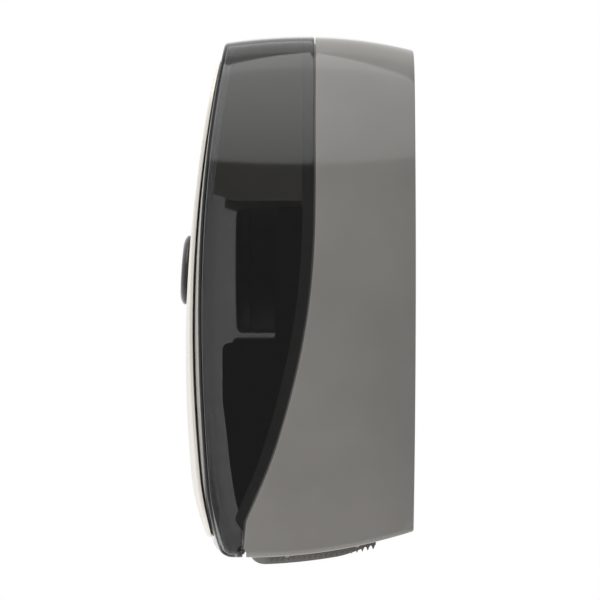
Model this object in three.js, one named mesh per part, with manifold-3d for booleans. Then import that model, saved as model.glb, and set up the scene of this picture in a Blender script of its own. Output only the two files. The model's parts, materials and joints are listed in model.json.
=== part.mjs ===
// Wall mounted dispenser for one jumbo toilet tissue roll.
// Millimetres, +Z up. The wall is the plane Y = 0 and the front faces -Y.
// The roll turns about the Y axis, which meets the wall at the origin.
// "Depth" below is the distance out from the wall, so y = -depth.

import * as THREE from 'three';
import { mergeVertices } from 'three/addons/utils/BufferGeometryUtils.js';
import Module from 'manifold-3d';

const wasm = await Module();
wasm.setup();

// ---- Driving dimensions -------------------------------------------------

// Outer body
const halfWidth = 136;           // widest point of the side walls
const topHeight = 149.1;         // crown of the roof above the roll axis
const bottomHeight = -179;       // lowest line of the floor
const barrelRadius = 390;        // bow of the side walls from bottom to top
const roofCross = 620;           // bow of the roof from side to side
const floorCross = 4000;         // bow of the floor from side to side
const crownDepth = 65;           // depth at which the body is fullest
const rearCrownRadius = 254;     // how the body draws in towards the wall
const frontCrownRadius = 335;    // how it draws in towards the front
const floorCrownDepth = 105;
const floorCrownRadius = 340;
const topCornerRadius = 19;
const bottomCornerRadius = 3;

// Front face
const edgeDepth = 131.4;         // fullest depth of the face along its sides
const edgeCentre = -22;
const edgeBow = 770;
const middleDepth = 140.1;       // fullest depth of the face on its centre line
const middleCentre = -55;
const middleBow = 830;
const faceHalfWidth = 128;
const faceDrawHeight = -130;     // below this height the whole face draws in further
const faceDrawBow = 150;
const faceCentre = -15;          // height about which the face's rings close
const faceCornerRadius = 2.5;
const faceFootRadius = 9;        // larger round along the foot of the face

// Walls
const housingWall = 3;
const coverWall = 2.5;
const tongueWall = 1.8;
const tongueReach = 7.3;         // how far the housing's tongue runs inside the cover
const tongueRoot = 6;
const chassisWall = 2.2;
const hoodWall = 1.8;

// Clearances
const seat = 0.3;                // between pieces that rest on each other
const coverGap = 0.8;            // parting line between cover and housing
const slideGap = 1.1;            // cover wall over the tongue
const runGap = 0.4;              // turning pieces
const curveSeat = 0.6;           // between curved walls that lie one over the other

// Parting line between housing and cover, as depth and height
const partingPoints = [
  [60.6, 175], [60.9, 100], [61.8, 12], [69.3, -49], [84.9, -109], [103.4, -155],
];
const partingFootDepth = 105;

// Cover hinge
const pivotDepth = 106.6;
const pivotRise = 3;             // pivot above the floor line
const hingePinRadius = 1.2;
const knuckleRadius = 2.6;
const knuckleLength = 16;
const knuckleX = 62;
const earThickness = 3;

// Roll hub
const hubRadius = 40.5;
const hubFlangeRadius = 47;
const hubBackDepth = 10.5;
const hubFaceDepth = 101;
const hubNoseDepth = 110.7;
const hubWall = 2.5;
const postRadius = 10;
const postBaseRadius = 30;

// Back plate and fixings
const plateThickness = 3;
const flangeThickness = 2.5;
const flangeWidth = 13;
const slotWidth = 6;
const slotLength = 16;
const slotX = 62;
const slotZ = 92;
const screwHeadRadius = 3.6;
const screwShankRadius = 1.7;

// Paper mouth
const mouthHalfWidth = 50;
const mouthBack = 22;
const mouthFront = 99;
const mouthCorner = 12;
const collarWall = 2.5;
const collarFlange = 9;
const collarDrop = 6.8;          // deepest point of the collar below the floor line
const stripThickness = 1.2;
const stripDrop = 6;             // tooth tips below the floor line at the strip's front
const stripDropRear = 7.5;       // and at its rear
const toothPitch = 3.39;
const toothCount = 20;
const toothHeight = 3.2;
const stripFirst = 22.2;

// Chassis and hood
const chassisFront = 116.7;
const chassisShelf = -45;
const chassisRise = 37;
const chassisStep = 84.9;
const chassisFlange = 13.5;
const hoodFoot = 40.5;
const hoodFootRise = 7;
const hoodSlotHalf = 24.5;

// Lock
const lockDepth = 81;
const lockSleeveRadius = 9;
const lockPlugRadius = 6;
const lockNutRadius = 12.2;
const lockLength = 15;
const camLength = 21;
const camWidth = 8;
const camThickness = 2;

// Front panel and badge
const panelThickness = 2.5;
const panelHalfWidth = 96;
const panelCorner = 30;
const panelTaper = 0.15;
const panelSeat = 0.6;
const panelTop = 131;
const panelFoot = -168;
const badgeRadius = 22.4;
const badgeHeight = 4;

// ---- Solids -------------------------------------------------------------

function toSolid(geometry) {
  const bare = geometry.clone();
  for (const name of Object.keys(bare.attributes)) {
    if (name !== 'position') {
      bare.deleteAttribute(name);
    }
  }
  const merged = mergeVertices(bare, 1e-4);
  const corners = Array.from(merged.index.array);
  const kept = [];
  for (let i = 0; i < corners.length; i += 3) {
    const [a, b, c] = corners.slice(i, i + 3);
    if (a !== b && b !== c && c !== a) {
      kept.push(a, b, c);
    }
  }
  return new wasm.Manifold(new wasm.Mesh({
    numProp: 3,
    vertProperties: new Float32Array(merged.attributes.position.array),
    triVerts: new Uint32Array(kept),
  }));
}

function toGeometry(solid) {
  const mesh = solid.getMesh();
  const geometry = new THREE.BufferGeometry();
  const points = new Float32Array(mesh.numVert * 3);
  for (let i = 0; i < mesh.numVert; i += 1) {
    for (let k = 0; k < 3; k += 1) {
      points[3 * i + k] = mesh.vertProperties[i * mesh.numProp + k];
    }
  }
  geometry.setAttribute('position', new THREE.BufferAttribute(points, 3));
  geometry.setIndex(Array.from(mesh.triVerts));
  geometry.computeVertexNormals();
  return geometry;
}

// A closed body over a list of rings with the same number of points each.
// A looped body joins its last ring to its first; an open one gets a fan on each end.
function ringBody(rings, looped) {
  const count = rings[0].length;
  const points = rings.flat(2);
  const faces = [];
  const last = looped ? rings.length : rings.length - 1;
  for (let r = 0; r < last; r += 1) {
    const next = (r + 1) % rings.length;
    for (let i = 0; i < count; i += 1) {
      const j = (i + 1) % count;
      const [a, b, c, d] = [r * count + i, r * count + j, next * count + j, next * count + i];
      faces.push(a, b, c, a, c, d);
    }
  }
  if (!looped) {
    for (const r of [0, rings.length - 1]) {
      const middle = new THREE.Vector3();
      for (const point of rings[r]) {
        middle.add(new THREE.Vector3(...point).divideScalar(count));
      }
      const centre = points.length / 3;
      points.push(middle.x, middle.y, middle.z);
      for (let i = 0; i < count; i += 1) {
        const [a, b] = [r * count + i, r * count + (i + 1) % count];
        faces.push(...(r === 0 ? [centre, b, a] : [centre, a, b]));
      }
    }
  }
  const geometry = new THREE.BufferGeometry();
  geometry.setAttribute('position', new THREE.Float32BufferAttribute(points, 3));
  geometry.setIndex(outward(points, faces));
  return toSolid(geometry);
}

// Faces turned so that the enclosed volume is positive.
function outward(points, faces) {
  let volume = 0;
  const at = (i) => new THREE.Vector3(points[3 * i], points[3 * i + 1], points[3 * i + 2]);
  for (let i = 0; i < faces.length; i += 3) {
    volume += at(faces[i]).dot(at(faces[i + 1]).cross(at(faces[i + 2])));
  }
  if (volume > 0) {
    return faces;
  }
  return faces.map((_, i) => faces[i - (i % 3) + (2 - (i % 3))]);
}

function unite(...solids) {
  return solids.reduce((whole, solid) => whole.add(solid));
}

function cut(solid, ...tools) {
  return tools.reduce((whole, tool) => whole.subtract(tool), solid);
}

function shapeOf(points) {
  return new THREE.Shape(points.map(([a, b]) => new THREE.Vector2(a, b)));
}

// A prism along X between x0 and x1, over a side profile of [depth, z] points.
function sidePrism(profile, x0, x1) {
  const shape = shapeOf(profile.map(([depth, z]) => [-depth, z]));
  const geometry = new THREE.ExtrudeGeometry(shape, { depth: x1 - x0, bevelEnabled: false, curveSegments: 12 });
  const axes = new THREE.Matrix4().makeBasis(
    new THREE.Vector3(0, 1, 0), new THREE.Vector3(0, 0, 1), new THREE.Vector3(1, 0, 0),
  );
  geometry.applyMatrix4(axes);
  geometry.translate(x0, 0, 0);
  return toSolid(geometry);
}

// A prism along Z between z0 and z1, over a plan shape in x and y.
function planPrism(shape, z0, z1) {
  const geometry = new THREE.ExtrudeGeometry(shape, { depth: z1 - z0, bevelEnabled: false, curveSegments: 6 });
  geometry.translate(0, 0, z0);
  return toSolid(geometry);
}

// A prism along Y between two depths, over a front shape in x and z.
function frontPrism(shape, depth0, depth1) {
  const geometry = new THREE.ExtrudeGeometry(shape, { depth: depth1 - depth0, bevelEnabled: false, curveSegments: 6 });
  geometry.rotateX(Math.PI / 2);
  geometry.translate(0, -depth0, 0);
  return toSolid(geometry);
}

function box(x0, x1, depth0, depth1, z0, z1) {
  const geometry = new THREE.BoxGeometry(x1 - x0, depth1 - depth0, z1 - z0);
  geometry.translate((x0 + x1) / 2, -(depth0 + depth1) / 2, (z0 + z1) / 2);
  return toSolid(geometry);
}

// A turned piece about the Y axis: profile of [radius, depth] points.
function turnedAboutY(profile, sides, x = 0, z = 0) {
  const geometry = new THREE.LatheGeometry(profile.map(([r, d]) => new THREE.Vector2(r, -d)), sides);
  geometry.translate(x, 0, z);
  return turned(geometry);
}

// A turned piece about a vertical axis: profile of [radius, z] points.
function turnedAboutZ(profile, sides, x, depth) {
  const geometry = new THREE.LatheGeometry(profile.map(([r, h]) => new THREE.Vector2(r, h)), sides);
  geometry.rotateX(Math.PI / 2);
  geometry.translate(x, -depth, 0);
  return turned(geometry);
}

// A turned piece about an axis along X: profile of [radius, x] points.
function turnedAboutX(profile, sides, depth, z) {
  const geometry = new THREE.LatheGeometry(profile.map(([r, h]) => new THREE.Vector2(r, h)), sides);
  geometry.rotateZ(-Math.PI / 2);
  geometry.translate(0, -depth, z);
  return turned(geometry);
}

function turned(geometry) {
  const bare = mergeVertices(new THREE.BufferGeometry()
    .setAttribute('position', geometry.attributes.position)
    .setIndex(geometry.index), 1e-4);
  const points = Array.from(bare.attributes.position.array);
  bare.setIndex(outward(points, Array.from(bare.index.array)));
  return toSolid(bare);
}

function rod(radius, from, to) {
  return [[0, from], [radius, from], [radius, to], [0, to]];
}

function roundedRect(halfX, y0, y1, radius) {
  const shape = new THREE.Shape();
  const arcs = [
    [halfX - radius, y0 + radius, -90], [halfX - radius, y1 - radius, 0],
    [-halfX + radius, y1 - radius, 90], [-halfX + radius, y0 + radius, 180],
  ];
  for (const [x, y, start] of arcs) {
    const from = THREE.MathUtils.degToRad(start);
    shape.absarc(x, y, radius, from, from + Math.PI / 2, false);
  }
  shape.closePath();
  return shape;
}

// ---- The body's outer surface -------------------------------------------

function drawnIn(depth) {
  const run = depth - crownDepth;
  return run * run / (2 * (run < 0 ? rearCrownRadius : frontCrownRadius));
}

function roofAt(x, depth, inset = 0) {
  return topHeight - drawnIn(depth) - inset - x * x / (2 * roofCross);
}

function floorAt(x, depth, inset = 0) {
  const run = Math.min(depth - floorCrownDepth, 0);
  return bottomHeight + run * run / (2 * floorCrownRadius) + inset + x * x / (2 * floorCross);
}

function sideAt(z, depth, inset = 0) {
  return halfWidth - drawnIn(depth) - inset - barrelRadius + Math.sqrt(barrelRadius ** 2 - z * z);
}

// Where the side meets the roof or the floor.
function cornerOf(rimAt, depth, inset) {
  let x = halfWidth * 0.8;
  let z = 0;
  for (let i = 0; i < 12; i += 1) {
    z = rimAt(x, depth, inset);
    x = sideAt(z, depth, inset);
  }
  return [x, z];
}

function roundCorner(start, corner, end, steps) {
  const weight = 0.75;
  const points = [];
  for (let i = 1; i < steps; i += 1) {
    const t = i / steps;
    const [a, b, c] = [(1 - t) ** 2, 2 * weight * t * (1 - t), t * t];
    const sum = a + b + c;
    points.push([0, 1].map((k) => (a * start[k] + b * corner[k] + c * end[k]) / sum));
  }
  return points;
}

// Closed front outline at one depth: [x, z] points, starting at the floor's middle.
function outline(depth, inset = 0) {
  const foot = cornerOf(floorAt, depth, inset);
  const head = cornerOf(roofAt, depth, inset);
  const footRound = Math.max(bottomCornerRadius - inset, 0.8);
  const headRound = Math.max(topCornerRadius - inset, 4);
  const right = [];
  const floorEnd = foot[0] - footRound;
  for (let i = 0; i <= 3; i += 1) {
    const x = floorEnd * i / 3;
    right.push([x, floorAt(x, depth, inset)]);
  }
  const sideStart = foot[1] + footRound;
  const sideEnd = head[1] - headRound;
  right.push(...roundCorner(right.at(-1), foot, [sideAt(sideStart, depth, inset), sideStart], 2));
  for (let i = 0; i <= 11; i += 1) {
    const z = sideStart + (sideEnd - sideStart) * i / 11;
    right.push([sideAt(z, depth, inset), z]);
  }
  const roofStart = head[0] - headRound;
  const roofPoint = [roofStart, roofAt(roofStart, depth, inset)];
  right.push(...roundCorner(right.at(-1), head, roofPoint, 4));
  for (let i = 0; i <= 3; i += 1) {
    const x = roofStart * (1 - i / 3);
    right.push([x, roofAt(x, depth, inset)]);
  }
  const left = right.slice(1, -1).reverse().map(([x, z]) => [-x, z]);
  return [...right, ...left];
}

// One ring of the surface whose depth differs from point to point.
function surfaceRing(depthOf, inset) {
  const first = outline(crownDepth, inset);
  return first.map((start, i) => {
    let [x, z] = start;
    let depth = 0;
    for (let k = 0; k < 3; k += 1) {
      depth = depthOf(x, z);
      [x, z] = outline(depth, inset)[i];
    }
    return [x, -depth, z];
  });
}

// A wall that follows the surface between two depth rules.
function band(fromDepth, toDepth, outerInset, wall, steps) {
  const rings = [];
  for (const [inset, order] of [[outerInset, 1], [outerInset + wall, -1]]) {
    const start = surfaceRing(fromDepth, inset);
    const end = surfaceRing(toDepth, inset);
    const side = [];
    for (let s = 0; s <= steps; s += 1) {
      side.push(ringBetween(start, end, s / steps, inset));
    }
    rings.push(...(order > 0 ? side : side.reverse()));
  }
  return ringBody(rings, true);
}

function ringBetween(start, end, share, inset) {
  return start.map((from, i) => {
    const depth = -(from[1] * (1 - share) + end[i][1] * share);
    const [x, z] = outline(depth, inset)[i];
    return [x, -depth, z];
  });
}

const partingCurve = new THREE.SplineCurve(partingPoints.map(([d, z]) => new THREE.Vector2(d, z)));
const partingLine = partingCurve.getPoints(60);

// Depth of the parting line at a height.
function partingDepth(z) {
  const foot = partingLine.at(-1);
  if (z <= foot.y) {
    const share = Math.min((foot.y - z) / 16, 1);
    return foot.x + (partingFootDepth - foot.x) * share;
  }
  for (let i = 1; i < partingLine.length; i += 1) {
    const [above, below] = [partingLine[i - 1], partingLine[i]];
    if (z >= below.y) {
      const share = Math.min((above.y - z) / (above.y - below.y), 1);
      return above.x + (below.x - above.x) * Math.max(share, 0);
    }
  }
  return foot.x;
}

function faceDepth(x, z) {
  const edge = edgeDepth - (z - edgeCentre) ** 2 / (2 * edgeBow);
  const middle = middleDepth - (z - middleCentre) ** 2 / (2 * middleBow);
  const share = Math.max(1 - (x / faceHalfWidth) ** 2, 0);
  const draw = Math.min(z - faceDrawHeight, 0) ** 2 / (2 * faceDrawBow);
  return edge + (middle - edge) * share - draw;
}

function faceRound(z) {
  const share = THREE.MathUtils.smoothstep(-z, 140, 168);
  return faceCornerRadius + (faceFootRadius - faceCornerRadius) * share;
}

// Rings of the cover's skin from the parting line over the front edge to the face's middle.
function coverSkin(inset) {
  const gap = coverGap / 2;
  const start = surfaceRing((x, z) => partingDepth(z) + gap, inset);
  const count = start.length;
  const edge = start.map((_, i) => {
    let [x, z] = outline(edgeDepth - 8, inset + faceCornerRadius)[i];
    let depth = 0;
    let radius = 0;
    for (let k = 0; k < 3; k += 1) {
      radius = Math.max(faceRound(z) - inset, 1);
      depth = faceDepth(x, z) - inset;
      [x, z] = outline(depth - radius, inset + radius)[i];
    }
    return { depth: faceDepth(x, z) - inset, radius };
  });
  const rings = [];
  const wallSteps = 3;
  for (let s = 0; s <= wallSteps; s += 1) {
    rings.push(start.map((from, i) => {
      const depth = -from[1] + (edge[i].depth - edge[i].radius + from[1]) * s / wallSteps;
      const [x, z] = outline(depth, inset)[i];
      return [x, -depth, z];
    }));
  }
  for (const angle of [30, 60, 90]) {
    const turn = THREE.MathUtils.degToRad(angle);
    rings.push(edge.map(({ depth, radius }, i) => {
      const base = depth - radius;
      const [x, z] = outline(base, inset + radius * (1 - Math.cos(turn)))[i];
      return [x, -(base + radius * Math.sin(turn)), z];
    }));
  }
  const rim = rings.at(-1);
  for (const share of [0.92, 0.84, 0.74, 0.64, 0.42, 0.2, 0.03]) {
    rings.push(Array.from({ length: count }, (_, i) => {
      const x = rim[i][0] * share;
      const z = faceCentre + (rim[i][2] - faceCentre) * share;
      return [x, -(faceDepth(x, z) - inset), z];
    }));
  }
  return rings;
}

// A closed cup from an outer and an inner skin.
function cup(outer, inner) {
  const rings = [...outer].reverse().concat(inner);
  return ringBody(rings, false);
}

const pivotZ = floorAt(knuckleX, pivotDepth) + pivotRise;

function hingeRound(radius, x0 = -170, x1 = 170) {
  return turnedAboutX(rod(radius, x0, x1), 16, pivotDepth, pivotZ);
}

// A pan head screw driven towards the wall; its head rests at headDepth.
function wallScrew(x, z, headDepth, length, head = screwHeadRadius, shank = screwShankRadius) {
  const profile = [
    [0, headDepth - length], [shank, headDepth - length], [shank, headDepth],
    [head, headDepth], [head, headDepth + 1.1], [head * 0.6, headDepth + 2.1], [0, headDepth + 2.1],
  ];
  return turnedAboutY(profile, 8, x, z);
}

// A pan head screw driven upwards; its head rests at headZ.
function risingScrew(x, depth, headZ, length, head, shank) {
  const profile = [
    [0, headZ - 1.9], [head * 0.7, headZ - 1.7], [head, headZ - 0.9], [head, headZ],
    [shank, headZ], [shank, headZ + length], [0, headZ + length],
  ];
  return turnedAboutZ(profile, 8, x, depth);
}

function wallHole(radius, x, z, depth0, depth1) {
  return turnedAboutY(rod(radius, depth0, depth1), 8, x, z);
}

function risingHole(radius, x, depth, z0, z1, sides = 8) {
  return turnedAboutZ(rod(radius, z0, z1), sides, x, depth);
}

const bothSides = [['right', 1], ['left', -1]];
const screwHole = screwShankRadius + seat;
const flangeBack = plateThickness + seat;
const flangeFront = flangeBack + flangeThickness;
const chassisBack = flangeFront + seat;
const chassisFlangeFront = chassisBack + chassisWall;
const tongueInset = coverWall + slideGap;
const tongueInner = tongueInset + tongueWall;
const chassisInset = tongueInner + 0.8;

// Screws that hold the housing to the plate, above, and the chassis with it, below.
const housingScrews = [[70, 128], [114.5, 62]];
const chassisScrews = [[116.3, -20], [97.6, -120]];

// ---- Fixed pieces -------------------------------------------------------

// Rings of one wall run, from one depth rule to another, without the first ring if asked.
function run(fromDepth, toDepth, inset, steps, skip = 0) {
  const start = surfaceRing(fromDepth, inset);
  const end = surfaceRing(toDepth, inset);
  return Array.from({ length: steps + 1 - skip }, (_, i) => ringBetween(start, end, (i + skip) / steps, inset));
}

// The tongue shortens to nothing above the hinge.
function tongueEnd(x, z) {
  const share = THREE.MathUtils.smoothstep(z, pivotZ + 12, pivotZ + 24);
  return partingDepth(z) + 0.2 + (tongueReach - 0.2) * share;
}

function rearHousing() {
  const edge = (x, z) => partingDepth(z) - coverGap / 2;
  const root = (x, z) => partingDepth(z) - tongueRoot;
  let body = ringBody([
    ...run(() => 0, edge, 0, 5),
    surfaceRing(edge, tongueInset),
    surfaceRing(tongueEnd, tongueInset),
    surfaceRing(tongueEnd, tongueInner),
    surfaceRing(root, tongueInner),
    ...run((x, z) => root(x, z) - 2.5, () => flangeFront, housingWall, 4),
    surfaceRing(() => flangeFront, housingWall + flangeWidth),
    surfaceRing(() => flangeBack, housingWall + flangeWidth),
    surfaceRing(() => flangeBack, housingWall),
    surfaceRing(() => 0, housingWall),
  ], true);
  const mouth = roundedRect(mouthHalfWidth + collarWall + stripThickness + seat + 2.2,
    -130, -(mouthBack - collarWall - 0.6), 4);
  // The cover's foot turns down through this space.
  const swingRoom = box(-170, 170, pivotDepth - pivotRise - 0.5, 130, -200, pivotZ);
  body = cut(body, planPrism(mouth, -200, -140), hingeRound(pivotRise + 0.6), swingRoom);
  for (const [, side] of bothSides) {
    body = unite(body, hingeEar(side));
    body = cut(body, turnedAboutX(rod(hingePinRadius + 0.15, 0, side * 160), 16, pivotDepth, pivotZ));
    for (const [x, z] of [...housingScrews, ...chassisScrews]) {
      body = cut(body, wallHole(screwHole, side * x, z, flangeBack - 1, flangeFront + 1));
    }
    body = cut(body, risingHole(1.3, side * hoodTabX, hoodTabDepth, 130, roofAt(hoodTabX, hoodTabDepth, housingWall)));
  }
  for (const depth of strikeScrewDepths) {
    body = cut(body, risingHole(1.3, strikeX, depth, 130, roofAt(strikeX, depth, housingWall)));
  }
  return body;
}

// An ear on the housing floor, outboard of the cover's knuckle.
function hingeEar(side) {
  const inner = knuckleX + knuckleLength / 2 + seat;
  const [x0, x1] = side > 0 ? [inner, inner + earThickness] : [-inner - earThickness, -inner];
  const arm = sidePrism([
    [94, pivotZ - 1.2], [pivotDepth - 4.4, pivotZ - 1.2], [pivotDepth - 3.4, pivotZ - 0.2],
    [pivotDepth, pivotZ - 0.2], [pivotDepth, pivotZ + 2.4], [pivotDepth - 4, pivotZ + 3.4], [94, pivotZ + 3.4],
  ], x0, x1);
  return unite(arm, hingeRound(2.4, x0, x1));
}

function hingePin(side) {
  const inner = knuckleX - knuckleLength / 2 + 0.5;
  const outer = knuckleX + knuckleLength / 2 + seat + earThickness;
  return turnedAboutX(rod(hingePinRadius, side * inner, side * outer), 16, pivotDepth, pivotZ);
}

function backPlate() {
  const inset = housingWall + 0.4;
  const ring = (depth) => outline(depth, inset).map(([x, z]) => [x, -depth, z]);
  let body = ringBody([ring(0), ring(plateThickness)], false);
  for (const [, side] of bothSides) {
    for (const z of [slotZ, -slotZ]) {
      const slot = roundedRect(slotWidth / 2, z - slotLength / 2, z + slotLength / 2, slotWidth / 2 - 0.01);
      body = cut(body, frontPrism(slot, -1, plateThickness + 1).translate(side * slotX, 0, 0));
    }
    for (const [x, z] of [...housingScrews, ...chassisScrews]) {
      body = cut(body, wallHole(screwHole, side * x, z, 0.6, plateThickness + 1));
    }
  }
  for (const [x, z] of postScrews) {
    body = cut(body, wallHole(screwHole, x, z, 0.6, plateThickness + 1));
  }
  return body;
}

function innerChassis() {
  const side = [
    [chassisBack - 1, chassisRise], [chassisStep, chassisRise], [chassisStep, chassisShelf],
    [chassisFront, chassisShelf], [chassisFront, -80], [chassisFront - 2, -97], [chassisFront - 4.4, -121],
    [chassisFront - 7, -139], [chassisFront - 10, -152], [100, -159], [100, -200], [chassisBack - 1, -200],
  ];
  const inner = chassisInset + chassisWall;
  const tub = ringBody([
    ...run(() => chassisBack, () => chassisFront + 2, chassisInset, 4),
    ...run(() => chassisFront + 2, () => chassisFlangeFront, inner, 4),
    surfaceRing(() => chassisFlangeFront, inner + chassisFlange),
    surfaceRing(() => chassisBack, inner + chassisFlange),
  ], true);
  let body = tub.intersect(sidePrism(side, -170, 170));
  const mouth = roundedRect(mouthHalfWidth + 0.6, -130, -(mouthBack - 0.6), mouthCorner);
  body = cut(body, planPrism(mouth, -200, -130));
  for (const [, side2] of bothSides) {
    for (const [x, z] of chassisScrews) {
      body = cut(body, wallHole(screwHole, side2 * x, z, chassisBack - 1, chassisFlangeFront + 1));
    }
  }
  return body;
}

const hoodTabX = 48;
const hoodTabDepth = 64.2;

// The hood is in two halves, which leave room for the lock between them.
function rollHood(side) {
  const back = (x, z) => partingDepth(z) + tongueReach + 0.35;
  const front = (x, z) => faceDepth(x, z) - 7;
  const skin = band(back, front, tongueInset, hoodWall, 3);
  const tabEnd = (x, z) => partingDepth(z) + tongueReach + 4;
  const tabs = ringBody([
    surfaceRing((x, z) => partingDepth(z), tongueInner + seat),
    surfaceRing((x, z) => back(x, z) + 0.6, tongueInner + seat),
    surfaceRing((x, z) => back(x, z) + 0.6, tongueInner - 0.6),
    surfaceRing(tabEnd, tongueInner - 0.6),
    surfaceRing(tabEnd, tongueInner + seat + hoodWall),
    surfaceRing((x, z) => partingDepth(z), tongueInner + seat + hoodWall),
  ], true);
  const keep = sidePrism([
    [40, hoodFoot], [109, hoodFoot], [131, hoodFoot + hoodFootRise], [150, hoodFoot + hoodFootRise],
    [150, 200], [40, 200],
  ], -170, 170);
  const x = side * hoodTabX;
  const [from, to] = side > 0 ? [hoodSlotHalf, 170] : [-170, -hoodSlotHalf];
  const [x0, x1] = side > 0 ? [90, 170] : [-170, -90];
  const body = unite(
    skin.intersect(keep).intersect(box(from, to, 40, 150, 0, 200)),
    tabs.intersect(box(x - 8, x + 8, 40, 90, 100, 200)),
    tabs.intersect(box(x0, x1, 40, 90, 62, 78)),
  );
  return cut(body, risingHole(1.3, x, hoodTabDepth, 120, 200));
}

function hoodScrew(side) {
  const headZ = roofAt(hoodTabX, hoodTabDepth, tongueInner + seat + hoodWall) - curveSeat;
  return risingScrew(side * hoodTabX, hoodTabDepth, headZ, 3.6, 2.4, 1);
}

// The collar hangs below the floor and rounds up towards the front.
function mouthCollar() {
  const back = mouthBack - collarWall;
  const front = mouthFront + collarWall;
  const profile = [];
  for (let i = 0; i <= 9; i += 1) {
    const depth = back - 1 + (front - 9 - back + 1) * i / 9;
    const rise = 4.5 * (Math.max(46 - depth, 0) / 26) ** 1.5;
    profile.push([depth, floorAt(0, depth) - collarDrop + rise]);
  }
  const lipZ = profile.at(-1)[1];
  for (const angle of [20, 40, 60, 80]) {
    const turn = THREE.MathUtils.degToRad(angle);
    profile.push([front - 9 + 9.4 * Math.sin(turn), lipZ + 7 * (1 - Math.cos(turn))]);
  }
  profile.push([front + 1, lipZ + 8], [front + 1, floorAt(0, front, 4.5)]);
  for (let i = 6; i >= 0; i -= 1) {
    const depth = back - 1 + (front - back + 1) * i / 6;
    profile.push([depth, floorAt(0, depth, 4.5)]);
  }
  const outer = roundedRect(mouthHalfWidth + collarWall, -front, -back, mouthCorner + collarWall);
  const hole = roundedRect(mouthHalfWidth, -mouthFront, -mouthBack, mouthCorner);
  const rim = roundedRect(mouthHalfWidth + collarWall + collarFlange, -front, -(back - 6), mouthCorner);
  const flange = band(() => 8, () => partingFootDepth - tongueRoot - 3.5, housingWall + curveSeat, 2, 5).intersect(planPrism(rim, -200, -140));
  const wall = planPrism(outer, -210, -150).intersect(sidePrism(profile, -60, 60));
  let body = cut(unite(wall, flange), planPrism(hole, -220, -140));
  for (const [, side] of bothSides) {
    for (const depth of rivetDepths) {
      const x0 = side * (mouthHalfWidth - 1);
      const x1 = side * (mouthHalfWidth + collarWall + 1);
      body = cut(body, turnedAboutX(rod(1.1, x0, x1), 10, depth, rivetZ(depth)));
    }
  }
  return body;
}

const rivetDepths = [34, 78];

function rivetZ(depth) {
  return floorAt(mouthHalfWidth, depth) - 1.6;
}

// A serrated strip along one side of the mouth, teeth downwards.
function tearStrip(side) {
  const points = [];
  const length = toothCount * toothPitch;
  const line = (depth) => {
    const share = (stripFirst + length - depth) / length;
    return floorAt(mouthHalfWidth, depth) - stripDrop - (stripDropRear - stripDrop) * share;
  };
  for (let i = 0; i < toothCount; i += 1) {
    const start = stripFirst + i * toothPitch;
    points.push([start, line(start) + toothHeight]);
    points.push([start + toothPitch * 0.2, line(start) + toothHeight * 0.72]);
    points.push([start + toothPitch * 0.5, line(start + toothPitch / 2)]);
    points.push([start + toothPitch * 0.8, line(start) + toothHeight * 0.72]);
  }
  const end = stripFirst + toothCount * toothPitch;
  points.push([end, line(end) + toothHeight]);
  for (let i = 5; i >= 0; i -= 1) {
    const depth = stripFirst + (end - stripFirst) * i / 5;
    points.push([depth, floorAt(mouthHalfWidth, depth) + 1.5]);
  }
  const inner = mouthHalfWidth + collarWall + seat;
  const [x0, x1] = side > 0 ? [inner, inner + stripThickness] : [-inner - stripThickness, -inner];
  let body = sidePrism(points, x0, x1);
  for (const depth of rivetDepths) {
    body = cut(body, turnedAboutX(rod(1.1, x0 - 1, x1 + 1), 10, depth, rivetZ(depth)));
  }
  return body;
}

function stripRivet(side, depth) {
  const from = mouthHalfWidth + 0.2;
  const face = mouthHalfWidth + collarWall + seat + stripThickness + 0.25;
  const profile = [[0, side * from], [0.8, side * from], [0.8, side * face], [1.9, side * face],
    [1.5, side * (face + 0.7)], [0, side * (face + 0.9)]];
  return turnedAboutX(profile, 10, depth, rivetZ(depth));
}

const postBack = plateThickness + seat;
const postBaseFront = postBack + 3;
const postFront = hubFaceDepth + 0.4;
const postScrews = [90, 210, 330].map((angle) => {
  const turn = THREE.MathUtils.degToRad(angle);
  return [21 * Math.cos(turn), 21 * Math.sin(turn)];
});

function hubPost() {
  let body = turnedAboutY([
    [0, postBack], [postBaseRadius, postBack], [postBaseRadius, postBaseFront - 1], [postBaseRadius - 1, postBaseFront],
    [postRadius + 4, postBaseFront], [postRadius, postBaseFront + 3], [postRadius, postFront - 1],
    [postRadius - 1, postFront], [0, postFront],
  ], 28);
  for (const [x, z] of postScrews) {
    body = cut(body, wallHole(screwHole, x, z, postBack - 1, postBaseFront + 1));
  }
  return cut(body, wallHole(screwHole, 0, 0, postFront - 18, postFront + 1));
}

// A thin spring washer, waved three times round, between the post's base and the hub.
function dragWasher() {
  const sides = 36;
  const ring = (radius, side) => Array.from({ length: sides }, (_, i) => {
    const turn = 2 * Math.PI * i / sides;
    const depth = hubBackDepth - 1.1 + 0.45 * Math.cos(3 * turn) + side * 0.25;
    return [radius * Math.cos(turn), -depth, radius * Math.sin(turn)];
  });
  return ringBody([ring(11, -1), ring(16.5, -1), ring(16.5, 1), ring(11, 1)], true);
}

const retainerBack = postFront + seat;

function hubWasher() {
  return turnedAboutY([
    [screwHole, retainerBack], [postRadius + 3.2, retainerBack],
    [postRadius + 3.2, retainerBack + 1.2], [screwHole, retainerBack + 1.2], [screwHole, retainerBack],
  ], 24);
}

function hubScrew() {
  return wallScrew(0, 0, retainerBack + 1.2 + seat, 16, 5);
}

const strikeX = 18;
const strikeHalf = 5;
const strikeScrewDepths = [57.4, 63.6];
const strikeTop = roofAt(strikeX + strikeHalf, strikeScrewDepths[0] - 3, tongueInner) - seat;
const strikeThickness = 1.5;
const strikeLip = lockDepth + camWidth / 2 + 0.6;

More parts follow.
